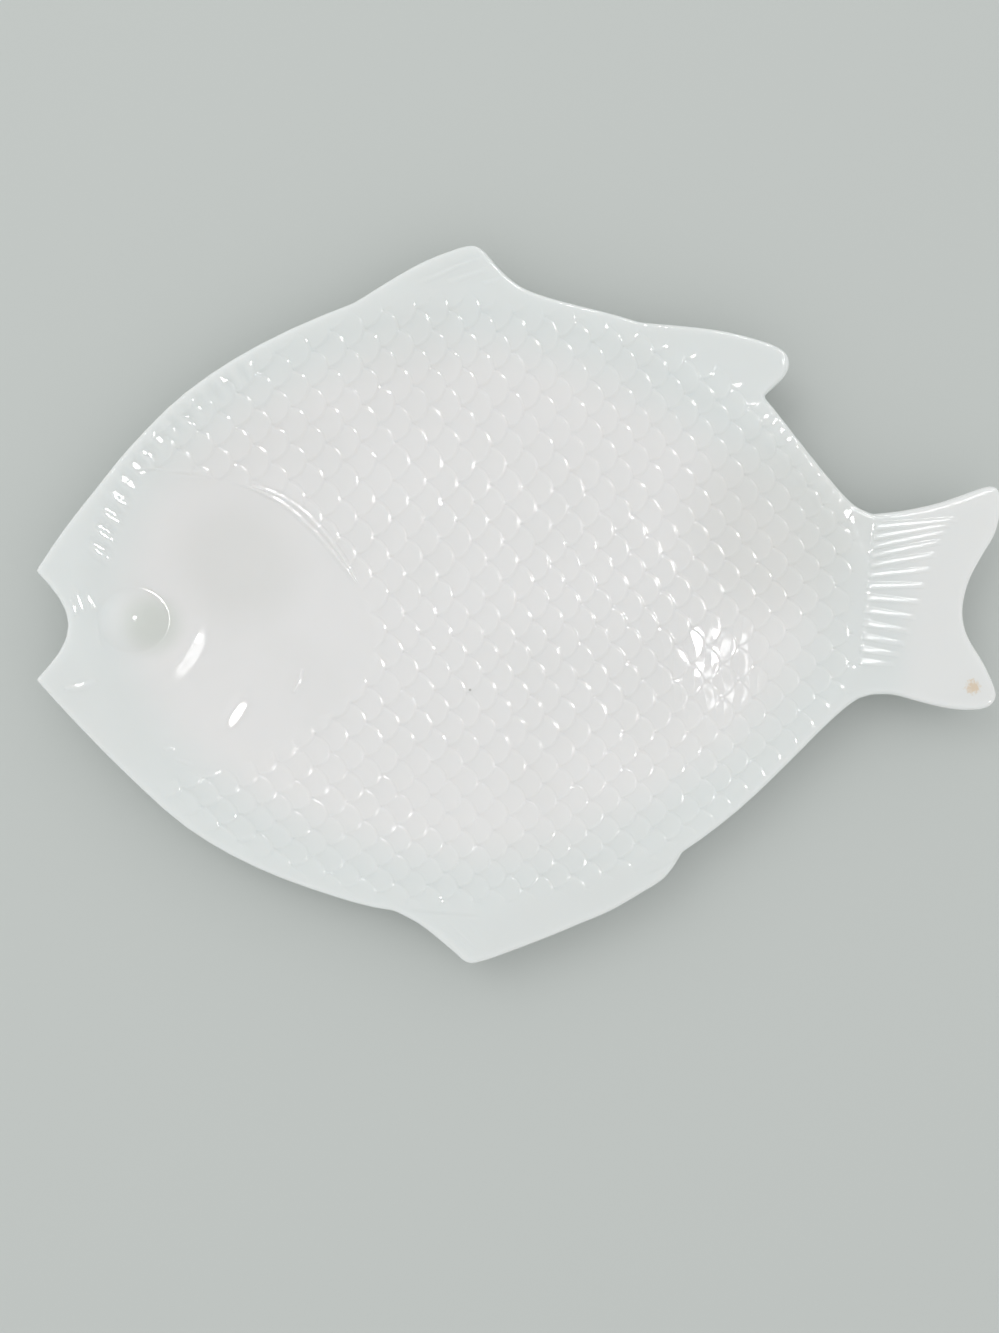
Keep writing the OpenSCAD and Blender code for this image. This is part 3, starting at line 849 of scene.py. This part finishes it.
number = np.arange(count)
strip = []
for row in range(len(ring_bases) - 1):
    ends = [(number, row), (number, row + 1), (number + 1, row + 1), (number + 1, row)]
    corners = [strip_place(n / count, r, len(ring_bases) - 1, sheet_edge) for n, r in ends]
    strip.append(np.stack(corners, 1).reshape(-1, 2))
places = [
    flat_place(top_plan[top_faces.ravel()], sheet_top),
    *strip,
    flat_place(under_plan[under_faces[:, ::-1].ravel()], sheet_under),
]
faces = [top_faces, edge_faces, under_faces[:, ::-1] + under_start]
platter = closed_mesh("platter", skin_points, faces, places)
rim_share = ease(tint_low, tint_high, edge_distance(skin_points[:, 0], skin_points[:, 1]))
rim_share = rim_share * (1 - tail_pale_share * ease(tail_pale_low, tail_pale_high, skin_points[:, 0]))
platter.data.attributes.new("rim_share", "FLOAT", "POINT").data.foreach_set("value", rim_share)
print("platter:", len(platter.data.vertices), "points,", len(platter.data.polygons), "faces")

# %% [markdown]
# ## Foot ring
# Pressed glass stands on a low ring that the mould leaves under the floor. Its section is a
# rounded bead: a fillet runs out of the floor on both sides, and the lowest line is worn flat by
# the table. The section is drawn once and carried round the oval.

# %% Foot ring
foot_low, foot_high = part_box("foot_ring")
foot_outside = flank_high.x - foot_high.x
foot_width = 5.0 * MM
foot_flat, foot_sink = 2.6 * MM, 0.6 * MM
foot_cuts = 240
foot_turns = [math.radians(degrees) for degrees in (0, 22.5, 45, 67.5, 90)]
corner_order = ((0, 0), (0, 1), (1, 1), (1, 0))


def oval_point(angle, inset):
    """Plan point of the dish's oval at an angle, moved in by an inset."""
    reach = oval_reach(angle) - inset
    return dish_middle.x + reach * math.cos(angle), dish_middle.y + reach * math.sin(angle)


foot_side = (foot_width - foot_flat) / 2
section = [(0.0, foot_high.z + foot_sink)]
section += [
    (foot_side * (1 - math.cos(turn)), foot_high.z * (1 - math.sin(turn)))
    for turn in foot_turns
]
section += [(foot_width - across, high) for across, high in reversed(section)]
foot_points, foot_faces, foot_places = [], [], []
for k in range(foot_cuts):
    angle = 2 * math.pi * k / foot_cuts
    for across, high in section:
        foot_points.append((*oval_point(angle, foot_outside + across), foot_low.z + high))
cuts = len(section)
for k in range(foot_cuts):
    for j in range(cuts):
        foot_faces.append([(k + a) % foot_cuts * cuts + (j + b) % cuts for a, b in corner_order])
        foot_places += [((k + a) / foot_cuts, (j + b) / cuts) for a, b in corner_order]
foot_ring = closed_mesh(
    "foot_bead", np.array(foot_points), [np.array(foot_faces)], [np.array(foot_places)])

# %% Turn the faces of both pieces outward and count open edges
for piece in (platter, foot_ring):
    tidy = bmesh.new()
    tidy.from_mesh(piece.data)
    bmesh.ops.recalc_face_normals(tidy, faces=tidy.faces)
    open_edges = sum(not edge.is_manifold for edge in tidy.edges)
    tidy.to_mesh(piece.data)
    tidy.free()
    print(piece.name, "has", open_edges, "open edges")

# %% [markdown]
# ## Finishes as sums
# A finish is a small tree of nodes. Wiring nodes one by one hides what is meant, so a wire gets
# Python's own signs: adding or multiplying wires adds the Math node that does it.

# %% Wires
class Wire:
    """One output in a material's node tree; sums of wires and numbers become Math nodes."""

    def __init__(self, tree, socket=None):
        self.tree, self.socket = tree, socket

    def node(self, kind, settings=None, sockets=None, out=0):
        """Any other node: its settings first, then the values or wires of its sockets."""
        made = self.tree.nodes.new(kind)
        for name, value in (settings or {}).items():
            setattr(made, name, value)
        feed(made, sockets or {})
        return Wire(self.tree, made.outputs[out])

    def maths(self, operation, first, second):
        return self.node("ShaderNodeMath", {"operation": operation}, {0: first, 1: second})

    def __add__(self, other):
        return self.maths("ADD", self, other)

    def __sub__(self, other):
        return self.maths("SUBTRACT", self, other)

    def __rsub__(self, other):
        return self.maths("SUBTRACT", other, self)

    def __mul__(self, other):
        return self.maths("MULTIPLY", self, other)

    __radd__, __rmul__ = __add__, __mul__

    def between(self, low, high):
        """0 at low, 1 at high, smooth between and flat beyond."""
        return self.node("ShaderNodeMapRange", {"interpolation_type": "SMOOTHSTEP"},
                         {"Value": self, "From Min": low, "From Max": high})


def noise(tree, scale, detail, place):
    """Soft cloudy values round 0.5."""
    return tree.node("ShaderNodeTexNoise", {}, {"Vector": place, "Scale": scale, "Detail": detail})


def mixed(tree, share, first, second):
    """One colour passing into another."""
    return tree.node("ShaderNodeMix", {"data_type": "RGBA"}, {0: share, 6: first, 7: second}, 2)


def new_finish(name):
    """An empty material with its shader, and a wire to start its tree from."""
    material = bpy.data.materials.new(name)
    material.use_nodes = True
    return material, material.node_tree.nodes["Principled BSDF"], Wire(material.node_tree)


def feed(shader, values):
    """Wires and plain values for the sockets of a shader."""
    for name, value in values.items():
        if isinstance(value, Wire):
            value.tree.links.new(value.socket, shader.inputs[name])
        else:
            shader.inputs[name].default_value = value


print("wires ready")

# %% [markdown]
# ## Opal glass
# Milk glass is white all through. Light goes in a few millimetres and comes out softened, so
# shadows in the relief stay pale, while the fire polished face throws hard small reflections.
# The dish is faintly warm and the rim a little greyer and cooler. Soft grey painted shade lies
# round the eye, on the brow and at the right of the dish. The polish is never quite flat: a very weak
# waviness makes the reflections wander, rubbing makes them a little duller in places, and a crinkled
# patch in the dish breaks one reflection into sparks. One rust-brown stain sits on the tail, one
# scratch in the dish.

# %% Opal glass
def linear(red, green, blue):
    """A colour given as on a screen, 0 to 255, as the shader wants it."""
    parts = [c / 255 for c in (red, green, blue)]
    return tuple(c / 12.92 if c <= 0.04045 else ((c + 0.055) / 1.055) ** 2.4 for c in parts) + (1.0,)


dish_white, rim_white = linear(227, 227, 226), linear(219, 223, 222)
# The second grey is painted shade on the brow and at the right of the dish.
cloud_grey, painted_shade_grey = linear(216, 217, 215), linear(212, 213, 210)
cloud_scale, cloud_strength = 26, 0.22
# Each mark: its pixel, its reach, how uneven its border is, its strength and its colour.
# The three shades are painted shade; the stain and the scratch belong to the glass.
marks = {
    "painted shade round the eye": ((152, 624), 15 * MM, 0, 0.6, linear(203, 209, 202)),
    "painted shade on the brow": ((238, 562), 34 * MM, 0, 0.45, painted_shade_grey),
    "painted shade at the right": ((775, 530), 48 * MM, 0, 0.55, painted_shade_grey),
    "stain on the tail": ((973, 687), 3.4 * MM, 1.6, 0.8, linear(214, 196, 170)),
    "scratch in the dish": ((470, 690), 0.7 * MM, 0.8, 0.55, linear(120, 116, 110)),
}
border_scale, border_share = 900, 0.3

opal, opal_shader, opal_tree = new_finish("opal glass")
place = opal_tree.node("ShaderNodeTexCoord", out="Object")
rim_wire = opal_tree.node("ShaderNodeAttribute", {"attribute_name": "rim_share"}, out="Fac")


def spot(pixel, reach, rough):
    """1 inside a small uneven spot that shows at a pixel of the photograph."""
    x, y = on_glass([pixel])[0]
    height = float(plain_height(x, y))
    gap = opal_tree.node("ShaderNodeVectorMath", {"operation": "DISTANCE"},
                         {0: place, 1: (x, y, height)}, "Value")
    uneven = gap + rough * reach * (noise(opal_tree, border_scale, 2, place) - 0.5)
    return 1 - uneven.between(border_share * reach, reach)


clouds = noise(opal_tree, cloud_scale, 3, place).between(0.42, 0.72)
glass_colour = mixed(opal_tree, rim_wire, dish_white, rim_white)
glass_colour = mixed(opal_tree, cloud_strength * clouds, glass_colour, cloud_grey)
for pixel, reach, rough, strength, colour in marks.values():
    glass_colour = mixed(opal_tree, strength * spot(pixel, reach, rough), glass_colour, colour)
print("colour:", ", ".join(marks))

# %% Polish of the opal glass
glass_ior = 1.52
polish_depth, wave_scale, ripple_scale, ripple_share = 0.05 * MM, 55, 420, 0.12
crinkle_px, crinkle_reach, crinkle_share = (714, 666), 29 * MM, 13
crinkle_bands = {"Scale": 44, "Distortion": 4, "Detail": 1, "Detail Scale": 1.2}
polished, rubbed, rubbed_scale = 0.045, 0.03, 60
milk_weight, milk_colours, milk_depth = 0.85, (1.0, 0.95, 0.9), 5 * MM

dull = noise(opal_tree, rubbed_scale, 4, place)
waves = noise(opal_tree, wave_scale, 2, place)
ripples = noise(opal_tree, ripple_scale, 3, place)
crinkles = opal_tree.node("ShaderNodeTexWave", {"bands_direction": "X", "wave_profile": "TRI"},
                          {"Vector": place, **crinkle_bands}, "Fac")
crinkles = crinkle_share * spot(crinkle_px, crinkle_reach, 0) * crinkles
bump = opal_tree.node("ShaderNodeBump", {}, {
    "Strength": 1.0, "Distance": polish_depth, "Height": waves + ripple_share * ripples + crinkles}, "Normal")
feed(opal_shader, {
    "Base Color": glass_colour, "Roughness": polished + rubbed * dull, "Normal": bump, "IOR": glass_ior,
    "Subsurface Weight": milk_weight, "Subsurface Radius": milk_colours, "Subsurface Scale": milk_depth})
platter.data.materials.append(opal)
print("opal glass:", len(opal.node_tree.nodes), "nodes")

# %% [markdown]
# ## Ground glass
# The foot's lowest line slides over tables, so its polish is gone: it is matt, with fine scuffs and
# a greyer tone at the bottom that passes into polished glass higher up.

# %% Ground glass
foot_white, scuff_grey = linear(221, 224, 223), linear(186, 186, 180)
wear_top, wear_full, wear_uneven, wear_scale = 1.3 * MM, 0.4 * MM, 0.5 * MM, 700
scuff_scale, scuff_strength, scuff_depth = 1500, 0.7, 0.05 * MM
ground, ground_shader, ground_tree = new_finish("ground glass")
ground_place = ground_tree.node("ShaderNodeTexCoord", out="Object")
height = ground_tree.node("ShaderNodeSeparateXYZ", {}, {"Vector": ground_place}, "Z")
worn = (height + wear_uneven * noise(ground_tree, wear_scale, 3, ground_place)).between(wear_top, wear_full)
scuffs = noise(ground_tree, scuff_scale, 4, ground_place)
ground_colour = mixed(ground_tree, scuff_strength * worn * scuffs, foot_white, scuff_grey)
ground_bump = ground_tree.node(
    "ShaderNodeBump", {}, {"Strength": 0.6, "Distance": scuff_depth, "Height": scuffs}, "Normal")
feed(ground_shader, {
    "Base Color": ground_colour, "Roughness": 0.1 + 0.5 * worn, "Normal": ground_bump, "IOR": glass_ior})
foot_ring.data.materials.append(ground)
print("ground glass:", len(ground.node_tree.nodes), "nodes")

# %% [markdown]
# ## Floor
# A plain pale sheet carries the platter.

# %% Floor
floor_grey, floor_roughness = linear(189, 194, 191), 0.8
floor_size = 3.0
floor_mesh = bpy.data.meshes.new("floor")
floor_corners = [(x * floor_size, y * floor_size, 0) for x, y in ((-1, -1), (1, -1), (1, 1), (-1, 1))]
floor_mesh.from_pydata(floor_corners, [], [(0, 1, 2, 3)])
floor = bpy.data.objects.new("floor", floor_mesh)
bpy.context.scene.collection.objects.link(floor)
floor_finish, floor_shader, _ = new_finish("pale sheet")
feed(floor_shader, {"Base Color": floor_grey, "Roughness": floor_roughness})
floor_mesh.materials.append(floor_finish)
print("floor:", 2 * floor_size, "m square")

# %% [markdown]
# ## Light
# Even light from all round gives the flat white look, and a broad lamp adds a gentle direction. The
# bright points come from small lamps: glass shows a small lamp as a small point, a broad one as a
# haze. Each is hung where one named form of the glass mirrors it to the camera. So a lamp is given
# by a pixel and by how much the form leans there beyond the plain dish. Its narrow cone keeps it
# off the other forms, and it lights the gloss only.

# %% Helpers for lamps
lamp_height, slope_step, cone_softness = 1.8, 0.5 * MM, 0.3


def hang(name, lamp, place, aim):
    """Hang a lamp at a place, turned toward an aim."""
    holder = bpy.data.objects.new(name, lamp)
    holder.location = place
    holder.rotation_euler = (aim - place).to_track_quat("-Z", "Y").to_euler()
    bpy.context.scene.collection.objects.link(holder)
    return holder


def disc_lamp(name, place, aim, across, radiance):
    """A round lamp that shines from a place toward an aim; radiance is how bright its face looks."""
    lamp = bpy.data.lights.new(name, "AREA")
    lamp.shape, lamp.size = "DISK", across
    lamp.energy = radiance * math.pi * math.pi * across**2 / 4
    return hang(name, lamp, place, aim)


def mirrored(pixel, lean):
    """Place of a lamp that the glass mirrors at a pixel, where the glass leans by an extra slope."""
    (x, y), step = on_glass([pixel])[0], slope_step
    slope_x = (plain_height(x + step, y) - plain_height(x - step, y)) / (2 * step)
    slope_y = (plain_height(x, y + step) - plain_height(x, y - step)) / (2 * step)
    spot_place = Vector((x, y, float(plain_height(x, y))))
    normal = Vector((lean[0] - slope_x, lean[1] - slope_y, 1)).normalized()
    look = (camera_place - spot_place).normalized()
    way = 2 * normal.dot(look) * normal - look
    return spot_place + way * (lamp_height - spot_place.z) / way.z, spot_place


def spot_lamp(name, place, aim, across, radiance, cone):
    """A round lamp that lights only a narrow cone."""
    lamp = bpy.data.lights.new(name, "SPOT")
    lamp.shadow_soft_size, lamp.spot_size = across / 2, math.radians(cone)
    lamp.spot_blend = cone_softness
    lamp.energy = radiance * math.pi * math.pi * across**2
    return hang(name, lamp, place, aim)


print("lamps hang", lamp_height, "m over the table")

# %% Lamps
broad_lamp_way, broad_lamp_across, broad_lamp_radiance = Vector((-0.9, 0.9, 1.4)), 1.1, 1.6
dish_point = Vector((dish_middle.x, dish_middle.y, floor_top))
broad_lamp = disc_lamp(
    "broad lamp", dish_point + broad_lamp_way, dish_point, broad_lamp_across, broad_lamp_radiance)
broad_lamp.visible_glossy = False
# Each glint: its pixel, the form's extra lean, the lamp's width, its radiance, its cone in degrees.
dish_glint_rows, dish_glint = (630, 674, 714), ((-0.23, 0), 0.22, 6, 7)
gill_lamp_shares, gill_glint = (0.05, 0.11, 0.17, 0.23, 0.29, 0.34, 0.39), (0.3, 24, 8)
glints = {
    "scale lamp": (dish_middle_px, (0.16, 0.055), 0.23, 58, 20),
    "tail lamp": ((893, 590), (0.012, 0.135), 0.26, 8, 8),
    "cheek lamp": ((187, 652), (0.08, -0.05), 0.15, 6, 6),
    "lip lamp": ((82, 686), (-0.05, 0.21), 0.15, 26, 4.5),
    "stroke lamp": ((299, 681), (0.57, -0.19), 0.3, 60, 8),
}
for k, row in enumerate(dish_glint_rows):
    glints[f"dish lamp {k + 1}"] = ((crinkle_px[0], row), *dish_glint)
for k, share in enumerate(gill_lamp_shares):
    here = int(share * (len(gill_path) - 1))
    lean = gill_face_lean * left_of(gill_path[here + 1:here + 2] - gill_path[here])[0]
    glint_px = gill_path[here] / pixel_at_rim * (1, -1) + np.array(dish_middle_px)
    glints[f"gill lamp {k + 1}"] = (tuple(glint_px), tuple(lean), *gill_glint)
for name, (pixel, lean, across, radiance, cone) in glints.items():
    lamp = spot_lamp(name, *mirrored(pixel, lean), across, radiance, cone)
    lamp.visible_diffuse = False
    print(name, "at", [round(v / MM) for v in lamp.location], "mm")

# %% Surroundings
surround_light = 0.92
world = bpy.data.worlds.new("surroundings")
bpy.context.scene.world = world
world.use_nodes = True
feed(world.node_tree.nodes["Background"], {"Color": (1.0, 1.0, 1.0, 1.0), "Strength": surround_light})
bpy.context.scene.view_settings.view_transform = "Standard"
print("surroundings and", len(glints) + 1, "lamps")

# %% [markdown]
# ## Hand the pieces to the frame
# Both pieces belong to the platter's one rigid body. The platter stands for all zones but the foot,
# the bead for the foot ring.

# %% Pieces and the end
platter_zones = [name for name in frame["nodes"] if name != "foot_ring"]
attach(platter, "root")
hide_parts(*platter_zones)
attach(foot_ring, "root")
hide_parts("foot_ring")
